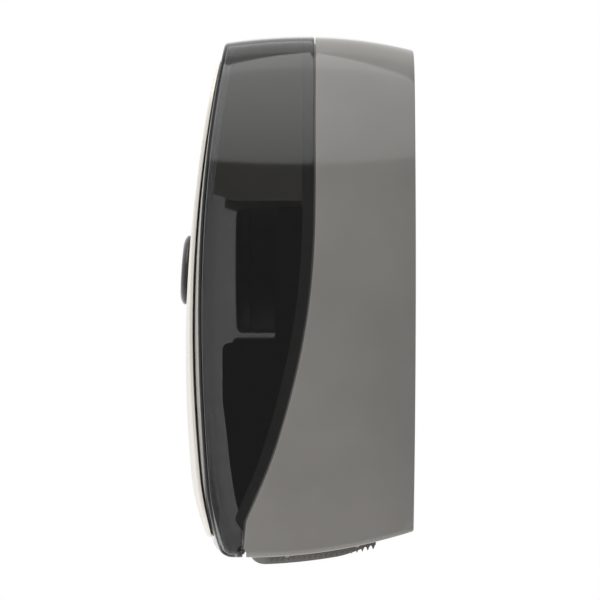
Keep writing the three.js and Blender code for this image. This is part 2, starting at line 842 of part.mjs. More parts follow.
// A hook below the roof: the cam turns in behind its lip.
function strikeHook() {
  const t = strikeThickness;
  const profile = [
    [54.5, strikeTop - t], [strikeLip, strikeTop - t], [strikeLip, strikeTop - 14],
    [strikeLip + t, strikeTop - 14], [strikeLip + t, strikeTop], [54.5, strikeTop],
  ];
  let body = sidePrism(profile, strikeX - strikeHalf, strikeX + strikeHalf);
  for (const depth of strikeScrewDepths) {
    body = cut(body, risingHole(1.3, strikeX, depth, strikeTop - 3, strikeTop + 1));
  }
  return body;
}

function strikeScrew(depth) {
  return risingScrew(strikeX, depth, strikeTop - strikeThickness - seat, 3.2, 2.4, 1);
}

// ---- Turning hub --------------------------------------------------------

const bearingRadius = postRadius + runGap;

function rollHub() {
  const inner = hubRadius - hubWall;
  return turnedAboutY([
    [bearingRadius, hubBackDepth], [bearingRadius + 2.6, hubBackDepth], [bearingRadius + 2.6, hubFaceDepth - hubWall],
    [inner, hubFaceDepth - hubWall], [inner, hubBackDepth], [hubFlangeRadius, hubBackDepth],
    [hubFlangeRadius, hubBackDepth + hubWall], [hubRadius, hubBackDepth + hubWall], [hubRadius, hubFaceDepth],
    [bearingRadius, hubFaceDepth], [bearingRadius, hubBackDepth],
  ], 32);
}

function hubCap() {
  const back = hubFaceDepth + seat;
  const hollow = postRadius + 6;
  const profile = [
    [0, hubNoseDepth - hubWall], [hollow, hubNoseDepth - hubWall], [hollow, back], [hubRadius, back],
    [hubRadius, hubNoseDepth - 4],
  ];
  for (const angle of [30, 60, 90]) {
    const turn = THREE.MathUtils.degToRad(angle);
    profile.push([hubRadius - 4 + 4 * Math.cos(turn), hubNoseDepth - 4 + 4 * Math.sin(turn)]);
  }
  profile.push([0, hubNoseDepth]);
  return turnedAboutY(profile, 32);
}

// ---- Cover --------------------------------------------------------------

const lockTop = roofAt(0, lockDepth) - 0.25;
const badgeSlope = Math.atan((0 - middleCentre) / middleBow);
const badgeSeat = faceDepth(0, 0) + panelSeat;

function frontCover() {
  let body = cup(coverSkin(0), coverSkin(coverWall));
  const corner = cut(box(-170, 170, 96, pivotDepth, -200, pivotZ), hingeRound(pivotRise + 0.1));
  body = cut(body, corner);
  for (const [, side] of bothSides) {
    const x = side * knuckleX;
    body = unite(body, hingeRound(knuckleRadius, x - knuckleLength / 2, x + knuckleLength / 2));
    const ear = knuckleX + knuckleLength / 2;
    const [x0, x1] = [ear, ear + earThickness + 2 * seat].map((v) => side * v).sort((a, b) => a - b);
    body = cut(body, box(x0, x1, 90, pivotDepth + 3.2, -200, pivotZ + 6));
    body = cut(body, turnedAboutX(rod(hingePinRadius + 0.3, side * 40, side * 90), 16, pivotDepth, pivotZ));
  }
  body = cut(body, risingHole(lockSleeveRadius + seat, 0, lockDepth, 130, 170, 20));
  body = cut(body, risingHole(lockSleeveRadius + 2.4, 0, lockDepth, lockTop - 1 - seat, 170, 20));
  return cut(body, badgeHole(4.3));
}

function badgeTurned(profile, sides) {
  const tilted = turnedAboutY(profile, sides);
  return tilted.rotate([THREE.MathUtils.radToDeg(-badgeSlope), 0, 0]).translate(0, -badgeSeat, 0);
}

function badgeHole(radius) {
  return badgeTurned(rod(radius, -12, 8), 16);
}

// The panel draws in towards its top and its foot.
function panelOutline() {
  const centre = (panelTop + panelFoot) / 2;
  const half = (panelTop - panelFoot) / 2;
  return roundedRect(panelHalfWidth, panelFoot, panelTop, panelCorner).getSpacedPoints(44).slice(0, -1)
    .map(({ x, y }) => [x * (1 - panelTaper * ((y - centre) / half) ** 2), y - centre, centre]);
}

function frontPanel() {
  const rim = panelOutline();
  const ring = (share, lift) => rim.map(([rimX, rise, centre]) => {
    const [x, z] = [rimX * share, centre + rise * share];
    return [x, -(faceDepth(x, z) + panelSeat + lift), z];
  });
  const shares = [0.04, 0.25, 0.46, 0.66, 0.76, 0.84, 0.92];
  const back = shares.concat(0.985).map((share) => ring(share, 0));
  const edge = [ring(1, 0.5), ring(1, panelThickness - 1.2), ring(0.985, panelThickness - 0.3)];
  const front = shares.map((share) => ring(share, panelThickness)).reverse();
  const body = ringBody([...back, ...edge, ...front], false);
  return cut(body, badgeHole(4.3));
}

function badgeBase() {
  const foot = panelThickness + 0.6;
  return badgeTurned([
    [0, -5.8], [4, -5.8], [4, foot], [badgeRadius, foot], [badgeRadius, foot + 1.4], [badgeRadius - 0.6, foot + 2.2],
    [badgeRadius - 2.4, foot + 3.4], [badgeRadius - 4.6, foot + badgeHeight], [15.6, foot + badgeHeight],
    [15.4, foot + 2.4], [0, foot + 2.4],
  ], 30);
}

function badgeDisc() {
  const foot = panelThickness + 0.6 + 2.4 + seat;
  return badgeTurned([
    [0, foot], [15, foot], [15, foot + 0.9], [14.3, foot + 1.4], [11, foot + 1.8],
    [6, foot + 2.2], [0, foot + 2.3],
  ], 30);
}

function badgeClip() {
  const front = -panelSeat - coverWall - curveSeat;
  return badgeTurned([[4.3, front - 1.6], [8, front - 1.6], [8.6, front], [4.3, front], [4.3, front - 1.6]], 16);
}

function lockSleeve() {
  const inner = lockPlugRadius + seat;
  return turnedAboutZ([
    [inner, lockTop - lockLength], [lockSleeveRadius, lockTop - lockLength], [lockSleeveRadius, lockTop - 1],
    [lockSleeveRadius + 2, lockTop - 1], [lockSleeveRadius + 2, lockTop - 0.3], [lockSleeveRadius + 1.6, lockTop],
    [inner, lockTop], [inner, lockTop - lockLength],
  ], 20, 0, lockDepth);
}

function lockNut() {
  const top = roofAt(lockNutRadius, lockDepth + lockNutRadius, coverWall) - seat;
  const nut = turnedAboutZ(rod(lockNutRadius, top - 3, top), 6, 0, lockDepth);
  return cut(nut, risingHole(lockSleeveRadius + seat, 0, lockDepth, top - 4, top + 1, 20));
}

// ---- Lock ---------------------------------------------------------------

const plugFoot = lockTop - lockLength - seat;
const camTop = plugFoot - 0.1;

function lockPlug() {
  const tail = 3;
  const body = turnedAboutZ([
    [0, camTop - camThickness - seat], [tail, camTop - camThickness - seat], [tail, plugFoot],
    [lockPlugRadius, plugFoot], [lockPlugRadius, lockTop - 0.6], [lockPlugRadius - 0.4, lockTop - 0.2], [0, lockTop - 0.2],
  ], 18, 0, lockDepth);
  const keyway = box(-0.8, 0.8, lockDepth - 3.8, lockDepth + 3.8, lockTop - 9, lockTop + 1);
  return cut(body, keyway, risingHole(1.3, 0, lockDepth, camTop - camThickness - 2, plugFoot + 3));
}

// The arm points at the wall while unlocked.
function lockCam() {
  const shape = new THREE.Shape();
  const half = camWidth / 2;
  shape.absarc(0, camLength - half, half, 0, Math.PI, false);
  shape.absarc(0, 0, half + 2, THREE.MathUtils.degToRad(140), THREE.MathUtils.degToRad(400), false);
  const arm = planPrism(shape, camTop - camThickness, camTop).translate(0, -lockDepth, 0);
  return cut(arm, risingHole(3 + seat, 0, lockDepth, camTop - camThickness - 1, camTop + 1, 18));
}

function camScrew() {
  return risingScrew(0, lockDepth, camTop - camThickness - 2 * seat, 4.4, 4.6, 1);
}

// ---- Assembly -----------------------------------------------------------

const finishes = {
  housingGrey: { color: 0x7c7871, roughness: 0.28, metalness: 0 },
  hoodGrey: { color: 0xb5b1a9, roughness: 0.45, metalness: 0 },
  black: { color: 0x1c1c1d, roughness: 0.42, metalness: 0 },
  smoke: { color: 0x2a2c2e, roughness: 0.08, metalness: 0 },
  panel: { color: 0xd0ccc4, roughness: 0.4, metalness: 0.3 },
  chrome: { color: 0xd8dadc, roughness: 0.08, metalness: 1 },
  steel: { color: 0xa5a7a9, roughness: 0.32, metalness: 1 },
  stripGrey: { color: 0x55514c, roughness: 0.4, metalness: 0.4 },
};

const group = new THREE.Group();

function place(name, solid, finish) {
  const mesh = new THREE.Mesh(toGeometry(solid), new THREE.MeshStandardMaterial(finishes[finish]));
  mesh.name = name;
  group.add(mesh);
}

place('rear_housing', rearHousing(), 'housingGrey');
place('back_plate', backPlate(), 'black');
place('inner_chassis', innerChassis(), 'black');
place('mouth_collar', mouthCollar(), 'housingGrey');
place('hub_post', hubPost(), 'black');
place('drag_washer', dragWasher(), 'steel');
place('hub_washer', hubWasher(), 'steel');
place('hub_screw', hubScrew(), 'steel');
place('strike_hook', strikeHook(), 'steel');
strikeScrewDepths.forEach((depth, i) => place(`strike_screw_${i + 1}`, strikeScrew(depth), 'steel'));
postScrews.forEach(([x, z], i) => {
  place(`post_screw_${i + 1}`, wallScrew(x, z, postBaseFront + seat, 5), 'steel');
});
for (const [name, side] of bothSides) {
  place(`tear_strip_${name}`, tearStrip(side), 'stripGrey');
  rivetDepths.forEach((depth, i) => place(`strip_rivet_${name}_${i + 1}`, stripRivet(side, depth), 'steel'));
  place(`hinge_pin_${name}`, hingePin(side), 'steel');
  place(`roll_hood_${name}`, rollHood(side), 'hoodGrey');
  place(`hood_screw_${name}`, hoodScrew(side), 'steel');
  housingScrews.forEach(([x, z], i) => {
    place(`housing_screw_${name}_${i + 1}`, wallScrew(side * x, z, flangeFront + seat, 5), 'steel');
  });
  chassisScrews.forEach(([x, z], i) => {
    place(`chassis_screw_${name}_${i + 1}`, wallScrew(side * x, z, chassisFlangeFront + seat, 7.6), 'steel');
  });
}
place('roll_hub', rollHub(), 'black');
place('hub_cap', hubCap(), 'black');
place('front_cover', frontCover(), 'smoke');
place('front_panel', frontPanel(), 'panel');
place('badge_base', badgeBase(), 'black');
place('badge_disc', badgeDisc(), 'chrome');
place('badge_clip', badgeClip(), 'steel');
place('lock_sleeve', lockSleeve(), 'chrome');
place('lock_nut', lockNut(), 'steel');
place('lock_plug', lockPlug(), 'chrome');
place('lock_cam', lockCam(), 'steel');
place('cam_screw', camScrew(), 'steel');

export default group;
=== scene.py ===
import json
import math

import bmesh
import bpy
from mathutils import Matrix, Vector


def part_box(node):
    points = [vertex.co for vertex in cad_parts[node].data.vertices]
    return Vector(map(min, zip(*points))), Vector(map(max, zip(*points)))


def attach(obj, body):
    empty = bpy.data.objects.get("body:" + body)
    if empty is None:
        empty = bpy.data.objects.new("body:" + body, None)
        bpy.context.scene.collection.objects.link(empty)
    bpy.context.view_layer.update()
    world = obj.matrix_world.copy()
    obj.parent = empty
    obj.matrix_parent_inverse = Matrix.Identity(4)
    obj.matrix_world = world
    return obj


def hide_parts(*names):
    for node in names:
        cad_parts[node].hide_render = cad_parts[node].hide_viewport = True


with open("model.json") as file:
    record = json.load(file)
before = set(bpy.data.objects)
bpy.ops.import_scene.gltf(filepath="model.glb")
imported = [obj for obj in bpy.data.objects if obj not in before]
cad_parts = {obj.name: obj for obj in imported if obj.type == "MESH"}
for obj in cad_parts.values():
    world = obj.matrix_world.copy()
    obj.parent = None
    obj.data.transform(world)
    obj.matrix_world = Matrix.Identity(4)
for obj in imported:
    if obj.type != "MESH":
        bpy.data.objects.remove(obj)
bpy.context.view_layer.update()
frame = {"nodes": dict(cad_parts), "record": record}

mm = 0.001

# Lengths are in mm. Depth is the distance out from the wall, so a point is (x, depth, z) and y = -depth.
shell = {
    "halfWidth": 136, "top": 149.1, "bottom": -179,
    "barrelRadius": 390,            # bow of the side walls
    "roofCross": 620, "floorCross": 4000,
    "crownDepth": 65, "rearCrown": 254, "frontCrown": 335,
    "floorCrownDepth": 105, "floorCrown": 340,
    "headCorner": 19, "footCorner": 3,
    "housingWall": 3, "coverWall": 2.5,
    "edgeRound": 0.5,               # moulded edges are never sharp
}
face = {
    "edgeDepth": 131.4, "edgeCentre": -22, "edgeBow": 770,
    "middleDepth": 140.1, "middleCentre": -55, "middleBow": 830,
    "halfWidth": 128, "centre": -15,
    "drawHeight": -130, "drawBow": 150,
    "corner": 2.5, "footCorner": 9,
}
parting = {
    "points": [(60.6, 175), (60.9, 100), (61.8, 12), (69.3, -49), (84.9, -109), (103.4, -155)],
    "footDepth": 105, "gap": 0.8,
    "tongueWall": 1.8, "tongueReach": 7.3, "tongueRoot": 6, "slideGap": 1.1,
}
hinge = {"depth": 106.6, "rise": 3, "x": 62, "length": 16, "radius": 2.6, "pin": 1.2, "ear": 3}
seat = 0.3
curveSeat = 0.6


# The shells' surface

def drawnIn(depth):
    run = depth - shell["crownDepth"]
    return run * run / (2 * (shell["rearCrown"] if run < 0 else shell["frontCrown"]))


def roofAt(x, depth, inset=0):
    return shell["top"] - drawnIn(depth) - inset - x * x / (2 * shell["roofCross"])


def floorAt(x, depth, inset=0):
    run = min(depth - shell["floorCrownDepth"], 0)
    return shell["bottom"] + run * run / (2 * shell["floorCrown"]) + inset + x * x / (2 * shell["floorCross"])


def sideAt(z, depth, inset=0):
    radius = shell["barrelRadius"]
    return shell["halfWidth"] - drawnIn(depth) - inset - radius + math.sqrt(radius * radius - z * z)


def cornerOf(rimAt, depth, inset):
    x, z = shell["halfWidth"] * 0.8, 0
    for _ in range(7):
        z = rimAt(x, depth, inset)
        x = sideAt(z, depth, inset)
    return x, z


def conic(start, corner, end, share, weight=0.75):
    a, b, c = (1 - share) ** 2, 2 * weight * share * (1 - share), share * share
    return tuple((a * p + b * q + c * r) / (a + b + c) for p, q, r in zip(start, corner, end))


def makeStations(floorSteps=8, footSteps=5, sideSteps=72, headSteps=14, roofSteps=12):
    right = [("floor", i / floorSteps) for i in range(floorSteps + 1)]
    right += [("foot", i / footSteps) for i in range(1, footSteps)]
    right += [("side", i / sideSteps) for i in range(sideSteps + 1)]
    right += [("head", i / headSteps) for i in range(1, headSteps)]
    right += [("roof", i / roofSteps) for i in range(roofSteps + 1)]
    return [(p, s, 1) for p, s in right] + [(p, s, -1) for p, s in reversed(right[1:-1])]


stations = makeStations()
plainStations = makeStations(6, 3, 36, 8, 8)


def shellPoint(depth, inset, station):
    part, share, side = station
    if part in ("floor", "foot", "side"):
        foot = cornerOf(floorAt, depth, inset)
        footRound = max(shell["footCorner"] - inset, 0.8)
        floorEnd, sideStart = foot[0] - footRound, foot[1] + footRound
    if part in ("side", "head", "roof"):
        head = cornerOf(roofAt, depth, inset)
        headRound = max(shell["headCorner"] - inset, 4)
        roofStart, sideEnd = head[0] - headRound, head[1] - headRound
    if part == "floor":
        x = floorEnd * share
        z = floorAt(x, depth, inset)
    elif part == "foot":
        x, z = conic((floorEnd, floorAt(floorEnd, depth, inset)), foot,
                     (sideAt(sideStart, depth, inset), sideStart), share)
    elif part == "side":
        z = sideStart + (sideEnd - sideStart) * share
        x = sideAt(z, depth, inset)
    elif part == "head":
        x, z = conic((sideAt(sideEnd, depth, inset), sideEnd), head,
                     (roofStart, roofAt(roofStart, depth, inset)), share)
    else:
        x = roofStart * (1 - share)
        z = roofAt(x, depth, inset)
    return side * x, z


def surfaceRing(depthOf, inset, spots=None):
    ring = []
    for spot in spots or stations:
        x, z = shellPoint(shell["crownDepth"], inset, spot)
        for _ in range(3):
            depth = depthOf(x, z)
            x, z = shellPoint(depth, inset, spot)
        ring.append((x, depth, z))
    return ring


def ringBetween(start, end, share, inset, spots=None):
    ring = []
    for spot, a, b in zip(spots or stations, start, end):
        depth = a[1] * (1 - share) + b[1] * share
        x, z = shellPoint(depth, inset, spot)
        ring.append((x, depth, z))
    return ring


def wallRun(fromDepth, toDepth, inset, steps, spots=None):
    start, end = surfaceRing(fromDepth, inset, spots), surfaceRing(toDepth, inset, spots)
    return [ringBetween(start, end, i / steps, inset, spots) for i in range(steps + 1)]


def splinePoints(points, count):
    made = []
    for i in range(count + 1):
        place = (len(points) - 1) * i / count
        k = min(int(place), len(points) - 2)
        t = place - k
        p0, p1, p2 = points[max(k - 1, 0)], points[k], points[k + 1]
        p3 = points[min(k + 2, len(points) - 1)]
        spot = []
        for a, b, c, d in zip(p0, p1, p2, p3):
            v0, v1 = (c - a) / 2, (d - b) / 2
            spot.append((2 * b - 2 * c + v0 + v1) * t ** 3
                        + (-3 * b + 3 * c - 2 * v0 - v1) * t * t + v0 * t + b)
        made.append(tuple(spot))
    return made


partingLine = splinePoints(parting["points"], 60)


def partingDepth(z):
    footX, footZ = partingLine[-1]
    if z <= footZ:
        return footX + (parting["footDepth"] - footX) * min((footZ - z) / 16, 1)
    for above, below in zip(partingLine, partingLine[1:]):
        if z >= below[1]:
            share = max(min((above[1] - z) / (above[1] - below[1]), 1), 0)
            return above[0] + (below[0] - above[0]) * share
    return footX


def smoothStep(value, low, high):
    share = min(max((value - low) / (high - low), 0), 1)
    return share * share * (3 - 2 * share)


def faceDepth(x, z):
    edge = face["edgeDepth"] - (z - face["edgeCentre"]) ** 2 / (2 * face["edgeBow"])
    middle = face["middleDepth"] - (z - face["middleCentre"]) ** 2 / (2 * face["middleBow"])
    draw = min(z - face["drawHeight"], 0) ** 2 / (2 * face["drawBow"])
    return edge + (middle - edge) * max(1 - (x / face["halfWidth"]) ** 2, 0) - draw


def faceRound(z):
    return face["corner"] + (face["footCorner"] - face["corner"]) * smoothStep(-z, 140, 168)


# Mesh helpers

def meshPiece(name, points, faces, sharpAngle=35):
    mesh = bpy.data.meshes.new(name)
    mesh.from_pydata([(x * mm, -depth * mm, z * mm) for x, depth, z in points], [], faces)
    piece = bpy.data.objects.new(name, mesh)
    bpy.context.scene.collection.objects.link(piece)
    return cleaned(piece, sharpAngle)


def cleaned(piece, sharpAngle=35):
    work = bmesh.new()
    work.from_mesh(piece.data)
    bmesh.ops.remove_doubles(work, verts=work.verts, dist=0.00001)
    bmesh.ops.dissolve_degenerate(work, edges=work.edges, dist=0.000002)
    bmesh.ops.recalc_face_normals(work, faces=work.faces)
    for facet in work.faces:
        facet.smooth = True
    work.to_mesh(piece.data)
    work.free()
    piece.data.set_sharp_from_angle(angle=math.radians(sharpAngle))
    return piece


def ringBody(name, rings, looped):
    count = len(rings[0])
    points = [p for ring in rings for p in ring]
    faces = []
    for a in range(len(rings) if looped else len(rings) - 1):
        b = (a + 1) % len(rings)
        for i in range(count):
            j = (i + 1) % count
            faces.append((a * count + i, a * count + j, b * count + j, b * count + i))
    if not looped:
        faces.append(tuple(range(count)))
        faces.append(tuple(range((len(rings) - 1) * count, len(rings) * count)))
    return meshPiece(name, points, faces)


def fillet(points, radius, steps=4, closed=True):
    made = []
    last = len(points) - 1
    for i, (x, y) in enumerate(points):
        if not closed and i in (0, last):
            made.append((x, y))
            continue
        here = Vector((x, y))
        before = Vector(points[i - 1]) - here
        after = Vector(points[(i + 1) % len(points)]) - here
        angle = before.angle(after)
        reach = min(radius / math.tan(angle / 2), before.length * 0.45, after.length * 0.45)
        if angle > math.radians(160) or reach < 0.02:
            made.append((x, y))
            continue
        start, end = here + before.normalized() * reach, here + after.normalized() * reach
        made += [conic(start, here, end, k / steps, math.sin(angle / 2)) for k in range(steps + 1)]
    return made


def turned(name, profile, place, sides=80, closed=False):
    points, faces, rows = [], [], []
    for radius, along in profile:
        if radius < 0.001:
            rows.append([len(points)] * sides)
            points.append(place(0, 0, along))
            continue
        rows.append(list(range(len(points), len(points) + sides)))
        for i in range(sides):
            turn = 2 * math.pi * i / sides
            points.append(place(radius * math.cos(turn), radius * math.sin(turn), along))
    pairs = list(zip(rows, rows[1:])) + ([(rows[-1], rows[0])] if closed else [])
    for low, high in pairs:
        for i in range(sides):
            j = (i + 1) % sides
            loop = []
            for k in (low[i], low[j], high[j], high[i]):
                if k not in loop:
                    loop.append(k)
            if len(loop) > 2:
                faces.append(tuple(loop))
    return meshPiece(name, points, faces)


def aboutY(x=0, z=0):
    return lambda u, v, depth: (x + u, depth, z + v)


def aboutZ(x, depth):
    return lambda u, v, z: (x + u, depth + v, z)


def aboutX(depth, z):
    return lambda u, v, x: (x, depth + u, z + v)


def prism(name, outline, low, high, place):
    count = len(outline)
    points = [place(a, b, low) for a, b in outline] + [place(a, b, high) for a, b in outline]
    faces = [tuple(range(count)), tuple(range(count, 2 * count))]
    faces += [(i, (i + 1) % count, count + (i + 1) % count, count + i) for i in range(count)]
    return meshPiece(name, points, faces)


def alongX(depth, z, x):
    return x, depth, z


def alongZ(x, depth, z):
    return x, depth, z


def alongY(x, z, depth):
    return x, depth, z


def blockOf(x0, x1, depth0, depth1, z0, z1):
    return prism("cutter", [(x0, depth0), (x1, depth0), (x1, depth1), (x0, depth1)], z0, z1, alongZ)


def rodOf(radius, low, high, place, sides=48):
    return turned("cutter", [(0, low), (radius, low), (radius, high), (0, high)], place, sides)


def combined(piece, other, operation):
    step = piece.modifiers.new("step", "BOOLEAN")
    step.operation, step.object, step.solver = operation, other, "EXACT"
    piece.data = applied(piece)
    bpy.data.objects.remove(other)
    return cleaned(piece)


def applied(piece):
    ready = piece.evaluated_get(bpy.context.evaluated_depsgraph_get())
    mesh = bpy.data.meshes.new_from_object(ready)
    piece.modifiers.clear()
    return mesh


def softened(piece, width, segments=2):
    step = piece.modifiers.new("soften", "BEVEL")
    step.width, step.segments, step.limit_method = width * mm, segments, "ANGLE"
    step.angle_limit = math.radians(40)
    piece.data = applied(piece)
    return cleaned(piece)


def roundedRect(halfX, low, high, radius, steps=10):
    made = []
    for x, y, start in ((halfX - radius, low + radius, -90), (halfX - radius, high - radius, 0),
                        (radius - halfX, high - radius, 90), (radius - halfX, low + radius, 180)):
        for i in range(steps + 1):
            turn = math.radians(start + 90 * i / steps)
            made.append((x + radius * math.cos(turn), y + radius * math.sin(turn)))
    return made


# Materials

def linear(hexColour):
    channels = [int(hexColour[i:i + 2], 16) / 255 for i in (1, 3, 5)]
    return tuple(c / 12.92 if c <= 0.04045 else ((c + 0.055) / 1.055) ** 2.4 for c in channels) + (1,)


def addNode(tree, kind, settings=None, inputs=None):
    made = tree.nodes.new("ShaderNode" + kind)
    for name, value in (settings or {}).items():
        setattr(made, name, value)
    for name, value in (inputs or {}).items():
        if isinstance(value, bpy.types.NodeSocket):
            tree.links.new(value, made.inputs[name])
        else:
            made.inputs[name].default_value = value
    return made


def moulded(name, colour, roughness, grainMm, bumpMm, ior=1.53, spread=0.05, **sockets):
    material = bpy.data.materials.new(name)
    material.use_nodes = True
    tree = material.node_tree
    shader = tree.nodes["Principled BSDF"]
    place = addNode(tree, "TexCoord").outputs["Object"]
    grain = addNode(tree, "TexNoise", inputs={
        "Vector": place, "Scale": 1 / (grainMm * mm), "Detail": 3.0, "Roughness": 0.55})
    cloud = addNode(tree, "TexNoise", inputs={"Vector": place, "Scale": 1 / (45 * mm), "Detail": 2.0})
    tone = addNode(tree, "MapRange", inputs={
        "Value": cloud.outputs["Fac"], "From Min": 0.3, "From Max": 0.7,
        "To Min": 1 - spread, "To Max": 1 + spread})
    tint = addNode(tree, "MixRGB", {"blend_type": "MULTIPLY"}, {
        "Fac": 1.0, "Color1": linear(colour), "Color2": tone.outputs["Result"]})
    gloss = addNode(tree, "MapRange", inputs={
        "Value": grain.outputs["Fac"], "From Min": 0.3, "From Max": 0.7,
        "To Min": roughness * 0.85, "To Max": roughness * 1.15})
    bump = addNode(tree, "Bump", inputs={
        "Height": grain.outputs["Fac"], "Distance": bumpMm * mm, "Strength": 1.0})
    tree.links.new(tint.outputs["Color"], shader.inputs["Base Color"])
    tree.links.new(gloss.outputs["Result"], shader.inputs["Roughness"])
    tree.links.new(bump.outputs["Normal"], shader.inputs["Normal"])
    if ior:
        shader.inputs["IOR"].default_value = ior
    for socket, value in sockets.items():
        shader.inputs[socket.replace("_", " ")].default_value = value
    return material


def smokePolycarbonate():
    # Polycarbonate, dyed through and moulded in a polished tool: a clear dark tint and a hard, sharp gloss.
    material = moulded("smokePolycarbonate", "#8a8a8a", 0.05, 5, 0.002, ior=1.58, spread=0.02,
                       Transmission_Weight=1.0, Specular_IOR_Level=0.2)
    tree = material.node_tree
    # Lamps shine through the tint instead of stopping at it, as they do on a thin wall.
    path = addNode(tree, "LightPath")
    passed = addNode(tree, "BsdfTransparent", inputs={"Color": (0.5, 0.5, 0.505, 1)})
    mixed = addNode(tree, "MixShader", inputs={
        "Fac": path.outputs["Is Shadow Ray"], 1: tree.nodes["Principled BSDF"].outputs["BSDF"],
        2: passed.outputs["BSDF"]})
    tree.links.new(mixed.outputs["Shader"], tree.nodes["Material Output"].inputs["Surface"])
    return material


print("materials")
finish = {
    # ABS moulded in a polished tool: a soft even sheen with a trace of flow in it.
    "housing_grey": moulded("polishedGreyAbs", "#706e6b", 0.06, 7, 0.0015),
    # ABS from a spark-textured tool: pale and even, with a broad dull sheen.
    "hood_grey": moulded("texturedPaleAbs", "#93908a", 0.45, 0.9, 0.012),
    # ABS, black, moulded satin: almost no colour, a low wide sheen.
    "black_plastic": moulded("satinBlackAbs", "#191a1b", 0.4, 0.9, 0.004),
    # ABS, black, moulded in a polished tool: sharp reflections on a black ground.
    "black_gloss": moulded("polishedBlackAbs", "#2c2c2b", 0.12, 6, 0.002),
    "smoke": smokePolycarbonate(),
    # ABS with a metallic pearl through it, moulded satin: pale, warm, a slight silver lift.
    "panel_satin": moulded("pearlSatinAbs", "#d6d2ca", 0.36, 0.8, 0.006, spread=0.02, Metallic=0.15),
    # Chromium plate on polished ABS: a mirror with the faint waves of the moulding under it.
    "chrome": moulded("platedChrome", "#dcdcde", 0.07, 8, 0.002, ior=None, spread=0.01, Metallic=1.0),
    # Spring steel, stamped and dark coated: brownish, with a worn, uneven sheen.
    "strip_steel": moulded("coatedSpringSteel", "#8d8981", 0.34, 1.2, 0.008, ior=None, spread=0.12,
                           Metallic=0.7),
    # Steel, bright zinc plated: cool grey with small cloudy patches.
    "zinc_steel": moulded("zincPlatedSteel", "#b9bbbd", 0.28, 2, 0.006, ior=None, spread=0.1, Metallic=1.0),
}


def kept(piece, body, slot, *nodes):
    piece.data.materials.clear()
    piece.data.materials.append(finish[slot])
    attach(piece, body)
    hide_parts(*nodes)
    return piece


# Camera, light and floor

camera = bpy.data.objects.new("camera", bpy.data.cameras.new("camera"))
camera.data.lens = 170
camera.data.sensor_width = 36
camera.data.clip_start = 0.05
camera.location = (1.836, -0.0699, -0.0192)
camera.rotation_euler = (math.radians(90), 0, math.radians(90))
bpy.context.scene.collection.objects.link(camera)
bpy.context.scene.camera = camera
bpy.context.scene.view_settings.view_transform = "Standard"

studio = {
    "lowBand": 0.16, "middleBand": 1.1, "highBand": 2.6,    # the room on the right, from below to above
    "middleFrom": 21.3, "highFrom": 55,                     # degrees above the horizon
    "front": 0.65, "farSide": 1.05,                         # the rest of it, from the front to the far side
    "bandFrom": 0.7, "bandTo": 0.8,                         # cosine of the way round from the object's right
    "floorHeight": -1.0, "floorSize": 1.0,
}


def makeWorld():
    world = bpy.data.worlds.new("studio")
    world.use_nodes = True
    bpy.context.scene.world = world
    tree = world.node_tree
    way = addNode(tree, "SeparateXYZ", inputs={"Vector": addNode(tree, "TexCoord").outputs["Generated"]})
    bands = addNode(tree, "ValToRGB", inputs={"Fac": way.outputs["Z"]})
    ramp = bands.color_ramp
    ramp.interpolation = "LINEAR"
    low, middle, high = (studio[k] / studio["highBand"] for k in ("lowBand", "middleBand", "highBand"))
    middleAt, highAt = (math.sin(math.radians(studio[k])) for k in ("middleFrom", "highFrom"))
    soft = 0.004
    ramp.elements[0].position, ramp.elements[0].color = middleAt - soft, (low, low, low, 1)
    ramp.elements[1].position, ramp.elements[1].color = middleAt + soft, (middle, middle, middle, 1)
    ramp.elements.new(highAt).color = (high, high, high, 1)
    flat = addNode(tree, "CombineXYZ", inputs={"X": way.outputs["X"], "Y": way.outputs["Y"]})
    around = addNode(tree, "VectorMath", {"operation": "NORMALIZE"}, {0: flat.outputs["Vector"]})
    right = addNode(tree, "SeparateXYZ", inputs={"Vector": around.outputs["Vector"]})
    near = addNode(tree, "MapRange", inputs={
        "Value": right.outputs["X"], "From Min": studio["bandFrom"], "From Max": studio["bandTo"]})
    rest = addNode(tree, "MapRange", inputs={
        "Value": right.outputs["X"], "From Min": -0.6, "From Max": 0.2,
        "To Min": studio["farSide"] / studio["highBand"], "To Max": studio["front"] / studio["highBand"]})
    room = addNode(tree, "MixRGB", inputs={
        "Fac": near.outputs["Result"], "Color1": rest.outputs["Result"], "Color2": bands.outputs["Color"]})
    seen = addNode(tree, "LightPath").outputs["Is Camera Ray"]
    lit = addNode(tree, "Background", inputs={"Color": room.outputs["Color"], "Strength": studio["highBand"]})
    plain = addNode(tree, "Background", inputs={"Color": (1, 1, 1, 1), "Strength": 1.0})
    mixed = addNode(tree, "MixShader", inputs={"Fac": seen, 1: lit.outputs[0], 2: plain.outputs[0]})
    tree.links.new(mixed.outputs[0], tree.nodes["World Output"].inputs["Surface"])


lamps = {
    "lampBelow": {"at": (0.6, -0.35, -0.6), "watts": 4.5, "size": 0.4},
    "lampAbove": {"at": (0.5, -0.4, 1.3), "watts": 14, "size": 0.7},
}


def makeLamp(name, facts):
    lamp = bpy.data.objects.new(name, bpy.data.lights.new(name, "AREA"))
    lamp.data.energy, lamp.data.size = facts["watts"], facts["size"]
    lamp.location = facts["at"]
    # The polished skins and the smoke cover show the room only, never the lamps.
    lamp.visible_glossy = lamp.visible_transmission = False
    lamp.rotation_euler = (-Vector(facts["at"])).to_track_quat("-Z", "Y").to_euler()
    bpy.context.scene.collection.objects.link(lamp)


makeWorld()
for name, facts in lamps.items():
    makeLamp(name, facts)
half = studio["floorSize"] / 2 / mm
floor = prism("studioFloor", [(-half, -half), (half, -half), (half, half), (-half, half)],
              studio["floorHeight"] / mm - 20, studio["floorHeight"] / mm, alongZ)
floor.data.materials.append(moulded("paleFloor", "#e4e3e0", 0.6, 20, 0.01))

# Housing

